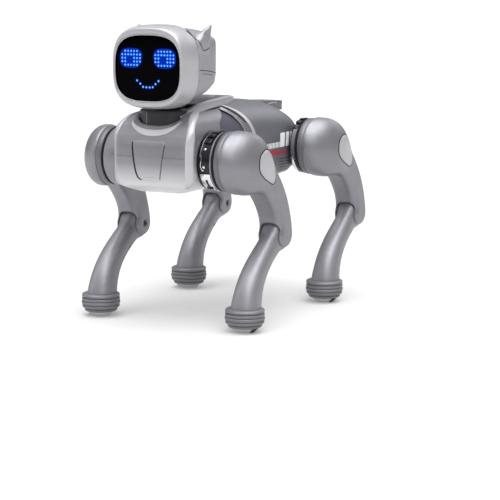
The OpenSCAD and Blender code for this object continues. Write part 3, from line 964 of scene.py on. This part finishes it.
def build_torso():
    """The chest shells, flanks, back cover and rear cover, each cut from one whole surface."""
    chest_box = ((-49, -146, 124), (49, -50, 212))
    whole = skin(chest_shell, *chest_box, 1.15)
    rear = ((0, CHEST_REAR, 0), (0, 1, 0))
    gap = 0.12
    upper = cut(whole, rear, ((0, 0, CHEST_SEAM_Z + gap), (0, 0, -1)))
    lower = cut(whole, rear, ((0, 0, CHEST_SEAM_Z - gap), (0, 0, 1)))
    piece("chest_upper", upper, "torso", CHEST_GREY, ("chest_upper_shell",))
    piece("chest_lower", lower, "torso", CHEST_LOW_FLOOR_LIT, ("chest_lower_shell",))
    barrel_box = ((-54, -62, 123), (54, 92, 213))
    body = skin(flank_shell, *barrel_box, 1.25)
    front = ((0, FLANK_FRONT, 0), (0, -1, 0))
    spine = 20.0
    belly = 133.0
    rear_y = box("rear_cover")[0][1]
    cut_rear = ((0, rear_y - gap, 0), (0, 1, 0))
    keep_above = ((0, 0, belly + gap), (0, 0, -1))
    left = cut(body, front, cut_rear, keep_above, ((spine, 0, 0), (-1, 0, 0)))
    piece("left_flank_visual", left, "torso", GUNMETAL, ("left_flank",))
    piece("right_flank_visual", mirrored(left), "torso", GUNMETAL, ("right_flank",))
    above_flanks = ((0, 0, 185), (0, 0, -1))
    strip = (((spine - gap, 0, 0), (1, 0, 0)), ((gap - spine, 0, 0), (-1, 0, 0)))
    back = cut(body, front, cut_rear, above_flanks, *strip)
    piece("back_cover_visual", back, "torso", GUNMETAL, ("back_cover",))
    rear_part = cut(body, ((0, rear_y + gap, 0), (0, -1, 0)))
    piece("rear_cover_visual", rear_part, "torso", GUNMETAL, ("rear_cover",))


build_torso()

# ---------- looks on the torso ----------


def on_torso(name, shape, coat, stands_for=()):
    piece(name, shape, "torso", coat, stands_for)


def add_trim_bands():
    """The bright bands that climb the chest's front corners and curl over the shoulders."""
    points = [
        (38.5, -134, 131), (42.0, -136.5, 140), (42.4, -137.2, 155), (42.2, -136.8, 168), (41.0, -134.5, 179),
        (38.8, -129, 189), (35.6, -120.5, 197), (31.5, -108, 203.5), (28.0, -95, 207),
    ]
    path = smooth_path(points, 72)
    width = through((0, 4.0), (0.1, 7.6), (0.3, 8.2), (0.65, 8.2), (0.85, 7.0), (1.0, 2.5))
    band = ribbon(chest, path, width(shares(path)), 0.55)
    on_torso("trim_bands", both(band), BRIGHT_TRIM, ("chest_trims",))


def add_collar():
    """The bright ledge round the front of the neck."""
    half = [(26.2, -123.5, 193), (23.5, -127.5, 190.5), (17, -131.2, 187.6), (9, -133.4, 185.6)]
    path = smooth_path([*[(-x, y, z) for x, y, z in half], (0, -133.8, 185), *half[::-1]], 80)
    t = np.linspace(-1, 1, len(path))
    band = ribbon(chest, path, 0.8 + 5.8 * (1 - np.abs(t) ** 2.2), 0.9)
    on_torso("collar", band, BRIGHT_TRIM, ("collar_trim",))


def add_shoulder_rim():
    """The raised rim that runs from the neck over the shoulders and round the back window."""
    half = [
        (21, -120.5, 200.2), (23.4, -111, 204.8), (25.8, -99, 208.6), (26.6, -83, 211.2),
        (25.5, -58, 212.7), (22.5, -32, 213.2), (15, -10, 212.2), (6, -3, 211.8),
    ]
    path = smooth_path([*half, *[(-x, y, z) for x, y, z in half[::-1]]], 160)
    tangent = unit(np.gradient(path, axis=0))
    out = unit(np.cross(tangent, (0, 0, 1)))
    up = np.cross(out, tangent)
    section = rounded([(-2.4, -7.4), (2.0, -7.4), (1.8, -0.4), (-1.5, 0.9)], 0.8, steps=4)
    rings = [path[i] + section[:, :1] * out[i] + section[:, 1:] * up[i] for i in range(len(path))]
    on_torso("shoulder_rim", loft(rings), RIM_GREY)


def add_back_window():
    outline = squircle_outline((0, -48), 20, 42, 3.2, 80)
    window = patch(torso, outline, 2, 260, 150, 1.0, bevel=1.2, rings=9)
    on_torso("back_window_visual", window, GLOSS_BLACK, ("back_window",))


def neck_field(spots):
    x, y, z = spots.T
    wide = squircle(x, y - NECK[1], 25.2, 24.4, 2.8)
    return common(wide, np.abs(z - 190) - 15.8, 1.5)


def add_neck():
    neck = skin(neck_field, (-28, NECK[1] - 27, 172), (28, NECK[1] + 27, 208), 1.3)
    on_torso("neck", neck, NECK_BLACK, ("neck_cover",))
    line = settle(neck_field, [(-9.5, -126, z) for z in np.linspace(184, 205, 12)], 0.05)
    on_torso("neck_lines", tube(line, 0.16, 6), STEEL)


def groove(field, points, radius, count=40):
    """A dark line sunk into a surface."""
    return tube(settle(field, smooth_path(points, count), -0.05), radius, 6)


def add_chest_front():
    """The slightly raised middle panel with its side grooves and blank badge bar."""
    corners = [(-18.5, 178), (16.5, 178), (10.0, 140), (-10.5, 140)]
    outline = resampled(rounded(corners, [1.5, 1.5, 5, 5]), 96)
    panel = patch(chest, outline, 1, -220, -90, 0.5, bevel=0.8, rings=10)
    seam = (0, 0, CHEST_SEAM_Z)
    on_torso("chest_panel_low", cut(panel, (seam, (0, 0, 1))), CHEST_LOW_FLOOR_LIT)
    on_torso("chest_panel_high", cut(panel, (seam, (0, 0, -1))), CHEST_GREY)
    left = [(-18.8, 178), (-16.6, 160), (-14.2, 147), (-12.2, 141), (-9.5, 139.4)]
    right = [(16.8, 176), (14.6, 162), (12.0, 147), (10.4, 140.5)]
    lines = [groove(chest, [(x, -142, z) for x, z in side], r) for side, r in ((left, 0.75), (right, 0.32))]
    on_torso("chest_grooves", merge(*lines), SEAM_BLACK)
    outline = resampled(rounded([(-8, 141.2), (7.5, 141.2), (7, 144), (-7.5, 144)], 1), 40)
    badge = patch(chest, outline, 1, -220, -90, 1.0)
    on_torso("blank_badge", badge, BRIGHT_TRIM)


def add_scoops():
    """The dark scoops behind the shoulders, their bright arcs and their vent strips."""

    def core(spots):
        y, z = spots.T[1:]
        ahead = np.interp(z, ARC_Z, ARC_Y) - y
        return barrel(spots) + LINING_DEPTH + LINING_FALL * ease(ahead / 36)

    hollow = skin(core, (-50, -98, 160), (50, -24, 210), 1.6)
    on_torso("scoop_lining", hollow, SCOOP_DARK)
    turn = np.radians(np.linspace(62, 8, 44))
    height = 167 + 44 * np.sin(turn)
    arc = np.stack([51 * np.cos(turn), np.interp(height, ARC_Z, ARC_Y), height], 1)
    back = np.array((0, 1, 0.3))
    width = through((0, 1.6), (0.25, 3.6), (0.6, 5.2), (1, 5.6))
    band = smooth_path(arc + np.outer(width(shares(arc)) / 2 - 0.3, back), 60)
    bright = ribbon(barrel, band, width(shares(band)), 0.5)
    on_torso("scoop_arcs", both(bright), BRIGHT_TRIM, ("scoop_trims",))
    outer, inner = settle(barrel, arc, -0.9, 8), settle(barrel, arc, -5.2, 8)
    taper = np.linspace(0.4, 1, len(turn))[:, None]
    inner = outer + (inner - outer) * taper
    sides = [outer + 2.5 * back, outer + 0.4 * back, inner - 3.2 * back * taper, inner + 3 * back]
    on_torso("vent_strips", both(loft(list(np.stack(sides, 1)))), BRIGHT_TRIM)
    slots = []
    lift = (0.25, -0.25, 0.1)
    for start, end in zip(sides[1][19:40:2], sides[2][19:40:2]):
        across = end - start
        slots.append(tube(np.linspace(start + 0.2 * across, start + 0.8 * across, 4) + lift, 0.26, 6))
    on_torso("vent_slots", both(merge(*slots)), SEAM_BLACK)


def side_patch(corners, radius=0.5, count=36):
    """A print on the left flank, given by its corners in y and z."""
    outline = resampled(rounded(corners, radius), count)
    return patch(barrel, outline, 0, 120, 20, 0.12, sunk=0.3, bevel=0.12, rings=4)


def side_bar(start, width, top, lean, count):
    """A slanting bar on the left flank, from the common base line up."""
    base = 160
    corners = [(start, base), (start + width, base), (start + width + lean, top), (start + lean, top)]
    return side_patch(corners, count=count)


def add_prints():
    """Plain marks with no lettering (three bars, a row of ticks, a stripe), and the louvres under them."""
    marks = [side_bar(start, width, 174, 1.5, 36) for start, width in ((26, 10.0), (39, 7.0), (49, 3.5))]
    marks += [side_bar(start, 1.7, 165.5, 0.4, 20) for start in np.arange(-2, 23, 3.1)]
    on_torso("white_marks", both(merge(*marks)), WHITE_PRINT)
    stripe = [(2, 153.2), (30, 153.4), (52, 153.8), (52, 154.6), (2, 158.2)]
    stripe = side_patch(stripe, radius=0.25, count=80)
    on_torso("red_stripes", both(stripe), RED_PRINT)
    louvres = []
    for row in range(5):
        z = 149 - 2.7 * row
        points = [(46, y, z - 0.04 * (y - 20)) for y in np.linspace(24 + row, 56, 10)]
        louvres.append(groove(barrel, points, 0.3, 24))
    on_torso("louvres", both(merge(*louvres)), SEAM_BLACK)


def tail_field(spots):
    """The flat tail: an arm over a deeper grip with a finger hole."""
    x, y, z = spots.T
    arm = [(50, 201.6), (60, 202.4), (103.4, 199.8), (103.4, 197.8), (70, 198.4), (50, 198.0)]
    arm = rounded_pair(polygon_field(y, z, arm) - 0.7, np.abs(x) - 12.8, 1.2)
    grip = [(64, 199), (65, 195.0), (76, 192.6), (103.2, 190.8), (103.2, 199)]
    grip = rounded_pair(polygon_field(y, z, grip) - 1.2, np.abs(x) - 12.8, 1.6)
    finger_hole = squircle(x, y - 94, 6.4, 5.6, 4)
    return common(join(arm, grip, 1.0), -finger_hole, 1.0)


def add_tail():
    loop = skin(tail_field, (-15, 30, 186), (15, 108, 208), 1.1)
    low, high = box("tail_loop")
    loop = (np.clip(loop[0], (low[0], 0, low[2]), (high[0], high[1], high[2] + 1.5)), loop[1])
    on_torso("tail_loop_visual", loop, GUNMETAL, ("tail_loop",))
    edge = [(13.3, 65, 194.6), (13.6, 67.2, 197.3), (13.6, 71.5, 198.9), (13.6, 79.5, 199.4)]
    edge.append((13.5, 89, 199.2))
    root = [(11.6, 50, 200.4), (12.2, 54, 200.8), (12.2, 58.5, 200.2)]
    bars = merge(tube(smooth_path(edge, 30), 0.5, 8), tube(smooth_path(root, 12), 1.5, 12))
    on_torso("tail_edges", both(bars), RIM_GREY)


CUP_SPAN = (200, 330)
GUARD_SPAN = (128, 206)


def rolled(shape, angle):
    """A shape made at the top of a drum, rolled round the hip's axle to an angle."""
    return turned_about(shape, ORIGIN, 0, angle - 90)


def drum_teeth(first, last):
    """The castle-like teeth over the top of a drum, between two places along the axle."""
    tooth = block((first, -2.6, 24.0), (last, 2.6, 28.4), 0.7)
    return merge(*[rolled(tooth, angle) for angle in range(46, 135, 17)])


def drum_marks(angles):
    """Plain T-shaped marks on the chromed cup."""
    stem = block((50.6, -5.2, 27.2), (52.4, 5.2, 27.95), 0.25)
    bar = block((48.2, -6.8, 27.2), (55.2, -4.8, 27.95), 0.25)
    return merge(*[rolled(merge(stem, bar), angle) for angle in angles])


def drum_band(inner, outer, first, last, start=0, end=360, steps=96):
    """A plain band round the axle, between two radii and two places along it."""
    outline = [(inner, first), (outer, first), (outer, last), (inner, last)]
    return lathe(outline, ORIGIN, "x", start, end, steps)


def drum_details():
    """Small plated parts on the front of a drum: three lugs, a pipe and a thin rim line."""
    lugs = []
    for angle, x, size in ((150, 50.0, 1.3), (186, 50.4, 1.3), (193, 49.2, 0.9)):
        lug = block((x - size, -size, 25.0), (x + size, size, 26.9), 0.45)
        lugs.append(rolled(lug, angle))
    pipe = [(47.4, -25.4, 8), (47.6, -26.3, 3), (47.2, -26.6, -2), (48.6, -26.2, -6)]
    rim = drum_band(26.5, 27.5, 46.4, 46.9, 95, 165, 40)
    return merge(*lugs, tube(smooth_path(pipe, 20), 0.5, 8), rim)


def drum_looks(leg):
    """The drum pieces of one leg as (name, shape, coat, slot) rows, on the left side and round the axle."""
    end = SEAM_X - 1.0
    flange = [(26.2, end - 3.2), (27.0, end - 2.8), (27.2, end - 0.4), (26.6, end), (18, end)]
    front = "front" in leg
    neck = [(18, 42), (26.2, 42)] if front else [(18, 42), (21, 42), (21, end - 4.6), (25.4, end - 4.2)]
    drum = lathe([*neck, *flange], ORIGIN, steps=80)
    if SIDE[leg] < 0:
        outline = [(26.8, 43), (28.0, 43), (28.0, end - 2.0), (27.7, end - 1.2), (26.8, end - 1.2)]
        cover = lathe(outline, ORIGIN, steps=96)
        return [("drum", drum, GLOSS_BLACK, "gloss_black"), ("drum_cover", cover, LEG_GREY, "leg_grey")]
    start = 46.0 if front else 53.0
    cup = [(24.8, start), (27.3, start), (27.6, start + 0.8), (27.6, end - 4.2), (27.0, end - 3.6)]
    cup = lathe([*cup, (24.8, end - 3.6)], ORIGIN, "x", *CUP_SPAN, 40)
    if front:
        drum = merge(drum, drum_teeth(47.6, 54.6), drum_marks((224, 300)))
        cup = merge(cup, drum_details())
        last = ("drum_ring", drum_band(26.6, 27.7, end - 2.6, end - 1.2), CHEST_GREY, "gunmetal")
    else:
        drum = merge(drum, drum_teeth(52.6, 58.0))
        outline = [(26.0, end - 5.6), (27.4, end - 5.6), (27.6, end - 1.4), (26.0, end - 1.4)]
        guard = lathe(outline, ORIGIN, "x", *GUARD_SPAN, 40)
        last = ("drum_cover", guard, GUNMETAL, "gunmetal")
    return [("drum", drum, GLOSS_BLACK, "gloss_black"), ("drum_chrome", cup, CHROME, "chrome_plate"), last]


def add_drums():
    """What shows between the body and each hip: drum, teeth, chromed cup and plain covers."""
    for leg in LEGS:
        for name, shape, coat, slot in drum_looks(leg):
            placed = moved(shape, (0, HIP[1] + BACK[leg], HIP[2]))
            if SIDE[leg] < 0:
                placed = mirrored(placed)
            on_torso(f"{leg}_{name}", placed, coat)
    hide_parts("hip_drums", "hip_brackets")


add_trim_bands()
add_collar()
add_shoulder_rim()
add_back_window()
add_neck()
add_chest_front()
add_scoops()
add_prints()
add_tail()
add_drums()

# ---------- head ----------

HEAD_Z = 246.0
FACE_Y = -141.2
SHELL_Y = -143.4
LENS_Z = HEAD_Z - 0.7
LENS_POWER = 3.0
SPLIT_Y = box("head_front_shell")[1][1]


def head_front(spots):
    """The rounded front of the head, flat in front, with a recess for the lens."""
    x, y, z = spots.T
    ratio = np.abs(x / 40.2) ** 3 + np.abs((z - HEAD_Z) / 39.1) ** 3 + np.abs((y + 119) / 40.5) ** 3
    whole = (ratio ** (1 / 3) - 1) * 35
    whole = common(whole, SHELL_Y - y, 1.4)
    screen = squircle(x, z - LENS_Z, 35.8, 31.2, LENS_POWER)
    recess = np.maximum(screen, y - FACE_Y - 1.6)
    return common(whole, -recess, 0.5)


HEAD_SIDE = [
    (-140, 224), (-112, 225.5), (-99, 229), (-88.5, 236), (-83.5, 245), (-81.5, 256), (-83.5, 264),
    (-91, 269.5), (-106, 272.5), (-140, 275.0),
]


def head_back(spots):
    """The rear of the head without its ears."""
    x, y, z = spots.T
    side = polygon_field(y, z, HEAD_SIDE) - 9
    wide = squircle(x, z - HEAD_Z - 1, 38.4, 37.4, 3.6)
    plan = [(-32, -140), (32, -140), (32, -86), (29.5, -80.5), (-29.5, -80.5), (-32, -86)]
    return common(common(side, wide, 3), polygon_field(x, y, plan) - 7, 2)


def ear_cone(spots):
    """The left ear: a cone that leans back, with a flat, hollowed outer side."""
    foot = np.array((34.0, -104.6, 266.0))
    tip = np.array((39.4, -92.5, 284.2))
    axis = tip - foot
    t = np.clip((spots - foot) @ axis / (axis @ axis), 0, 1)
    away = spots - foot - t[:, None] * axis
    away[:, 0] *= 1.15
    cone = (np.linalg.norm(away, axis=1) - (11.8 - 11.1 * t)) * 0.85
    hollow = np.linalg.norm((spots - (45.0, -102.5, 276.5)) / (6.4, 6.8, 8.6), axis=1) * 6 - 6
    return common(common(cone, spots[:, 0] - 40.4, 1.5), -hollow, 1.2)


def head_rear_field(spots):
    """The rear of the head with both ears."""
    folded = spots.copy()
    folded[:, 0] = np.abs(folded[:, 0])
    return join(head_back(spots), ear_cone(folded), 1.6)


def face_plate(centre, a, b, power, count, steps):
    """A rounded plate that faces forward; each step is (share of the outline, depth behind FACE_Y)."""
    outline = squircle_outline(centre, a, b, power, count)
    rings = []
    for share, y in steps:
        flat = (outline - centre) * share + centre
        rings.append(np.stack([flat[:, 0], np.full(count, FACE_Y + y), flat[:, 1]], 1))
    return loft(rings)


def add_head():
    front = skin(head_front, (-42, -148, 204), (42, -112, 288), 1.2)
    front = cut(front, ((0, SPLIT_Y, 0), (0, 1, 0)))
    piece("head_front_visual", front, "head", HEAD_SILVER, ("head_front_shell",))
    rear = skin(head_rear_field, (-46, -128, 212), (46, -70, 288), 1.2)
    rear = cut(rear, ((0, SPLIT_Y + 0.3, 0), (0, -1, 0)))
    nodes = ("head_rear_shell", "left_ear", "right_ear")
    # the rear shell wears the darker copy of the head silver: painted shade
    piece("head_rear_visual", rear, "head", HEAD_REAR_SHADED, nodes)
    upper = groove(head_back, [(38, -112, 243), (38, -100, 242.2), (36, -88, 240.5), (31, -80, 239)], 0.32)
    lower = groove(head_back, [(38, -106, 239.5), (38, -98, 239), (36, -88, 237.5)], 0.25)
    piece("head_lines", both(merge(upper, lower)), "head", SEAM_BLACK)

    def ear_plate(spots):
        return np.minimum(head_front(spots), head_rear_field(spots))

    points = [
        (31, -121, 283.5), (35.5, -119, 278), (38.5, -114.5, 270), (39.5, -111, 263.5), (39.8, -108.5, 261.0),
        (39.4, -104, 261.6), (38.6, -94, 264.4),
    ]
    plate = groove(ear_plate, points, 0.36, 60)
    piece("ear_plate_lines", both(plate), "head", SEAM_BLACK)
    steps = ((0.02, -0.25), (0.3, -0.22), (0.6, -0.12), (0.85, 0.0), (0.97, 0.1), (1.0, 0.5), (1.0, 1.4))
    lens = face_plate((0, LENS_Z), 35.6, 31.0, LENS_POWER, 96, steps)
    piece("face_lens", lens, "head", SCREEN_BLACK, ("face_screen",))
    rim = squircle_outline((0, LENS_Z), 35.35, 30.75, LENS_POWER, 96)
    rim = np.stack([rim[:, 0], np.full(len(rim), SHELL_Y + 0.9), rim[:, 1]], 1)
    piece("face_rim", tube(rim, 0.45, 8, closed=True), "head", BRIGHT_TRIM)


def dot(x, y, z, radius, dome):
    """A slightly domed round light that faces forward."""
    turn = np.linspace(0, 2 * np.pi, 14, endpoint=False)
    u, v = radius * np.cos(turn), radius * np.sin(turn)
    steps = ((1.0, 0.0), (0.8, 0.6), (0.45, 0.9), (0.05, 1.0))
    level = np.zeros(14)
    return loft([np.stack([x + s * u, level + y - dome * lift, z + s * v], 1) for s, lift in steps])


EYE_ROWS = ((1, 2, 3, 4, 5), (0, 1, 2, 3, 4, 5, 6), (0, 1, 4, 5, 6), (0, 1, 4, 5, 6), (1, 2, 3, 4, 5))
SMILE = ((-3.6, 1.9), (-2.55, 1), (-1.6, 0.1), (-0.5, 0), (0.6, 0), (1.65, 0.1), (2.6, 1), (3.6, 1.9))
LED_PITCH = 3.2
EYE_X = 17.9
EYE_Z = 254.5
SMILE_Z = 227.8


def add_face_lights():
    """Two eyes and a smile made of dots: halos, bright cores, and a dim glow behind each eye."""
    dots = []
    glows = []
    glow_steps = ((1.0, -0.2), (0.9, -0.24), (0.5, -0.27), (0.02, -0.28))
    for eye_x in (-EYE_X, EYE_X):
        for row, columns in enumerate(EYE_ROWS):
            dots += [(eye_x + (c - 3) * LED_PITCH, EYE_Z + (2 - row) * LED_PITCH) for c in columns]
        glows.append(face_plate((eye_x, EYE_Z), 3.75 * LED_PITCH, 2.85 * LED_PITCH, 3.0, 40, glow_steps))
    dots += [(u * LED_PITCH, SMILE_Z + v * LED_PITCH) for u, v in SMILE]
    front = FACE_Y - 0.28
    halo = merge(*[dot(x, front, z, 1.3, 0.12) for x, z in dots])
    core = merge(*[dot(x, front - 0.1, z, 0.6, 0.1) for x, z in dots])
    piece("light_halos", halo, "head", LED_BLUE, ("face_leds",))
    piece("light_cores", core, "head", LED_CORE)
    piece("eye_glow", merge(*glows), "head", LED_GLOW)


add_head()
add_face_lights()

# ---------- CAD pieces that stay as they are ----------

INNER_COATS = {
    "battery_pack": BATTERY_BLUE, "main_board": CIRCUIT, "head_board": CIRCUIT, "charge_port": STEEL,
    "torso_screws": STEEL,
}
for node_name, node_object in frame["nodes"].items():
    coat = INNER_COATS.get(node_name, INNER_BLACK)
    node_object.data.materials.clear()
    node_object.data.materials.append(coat)

# ---------- floor and light ----------


def add_floor():
    material, tree, shader = new_material("pale_floor")
    material.cycles.emission_sampling = "NONE"
    shade = spread(tree, noise(tree, 3, 3), 0, 1)
    tree.links.new(blended(tree, shade, (0.50, 0.50, 0.50), (0.52, 0.52, 0.52)), shader.inputs["Base Color"])
    preset(shader, {"Roughness": 0.9, "Specular IOR Level": 0.1})
    preset(shader, {"Emission Color": (1, 1, 1, 1), "Emission Strength": 0.22})
    mesh = bpy.data.meshes.new("floor")
    work = bmesh.new()
    bmesh.ops.create_grid(work, x_segments=8, y_segments=8, size=30)
    work.to_mesh(mesh)
    work.free()
    mesh.materials.append(material)
    floor = bpy.data.objects.new("floor", mesh)
    scene.collection.objects.link(floor)


def add_area(name, place, size, power):
    """A soft rectangular light aimed at the middle of the dog."""
    light = bpy.data.lights.new(name, "AREA")
    light.shape = "RECTANGLE"
    light.size, light.size_y = size
    light.energy = power
    lamp = bpy.data.objects.new(name, light)
    scene.collection.objects.link(lamp)
    lamp.location = place
    lamp.rotation_euler = (Vector(place) - Vector((0, 0, 0.15))).to_track_quat("Z", "Y").to_euler()


def add_lights():
    sun = bpy.data.lights.new("sky_light", "SUN")
    sun.energy = 4.0
    sun.angle = math.radians(70)
    lamp = bpy.data.objects.new("sky_light", sun)
    scene.collection.objects.link(lamp)
    lamp.rotation_euler = (math.radians(8), math.radians(6), 0)
    add_area("key_light", (0.75, -1.15, 0.95), (0.7, 0.7), 3)
    add_area("side_light", (-1.25, -0.75, 0.55), (0.35, 1.0), 2)
    add_area("back_light", (0.3, 1.4, 0.9), (0.9, 0.5), 2)
    world = bpy.data.worlds.new("world")
    scene.world = world
    world.use_nodes = True
    tree = world.node_tree
    place = tree.nodes.new("ShaderNodeTexCoord")
    split = tree.nodes.new("ShaderNodeSeparateXYZ")
    ramp = tree.nodes.new("ShaderNodeValToRGB")
    tree.links.new(place.outputs["Generated"], split.inputs["Vector"])
    rise = spread(tree, split.outputs["Z"], 0, 1, -0.1, 1.0)
    tree.links.new(rise, ramp.inputs["Fac"])
    low, high = ramp.color_ramp.elements
    low.color, low.position = (0.14, 0.14, 0.15, 1), 0.12
    high.color, high.position = (1.0, 1.0, 1.0, 1), 0.75
    tree.links.new(ramp.outputs["Color"], tree.nodes["Background"].inputs["Color"])
    preset(tree.nodes["Background"], {"Strength": 0.7})
    scene.view_settings.view_transform = "Standard"


add_floor()
add_lights()
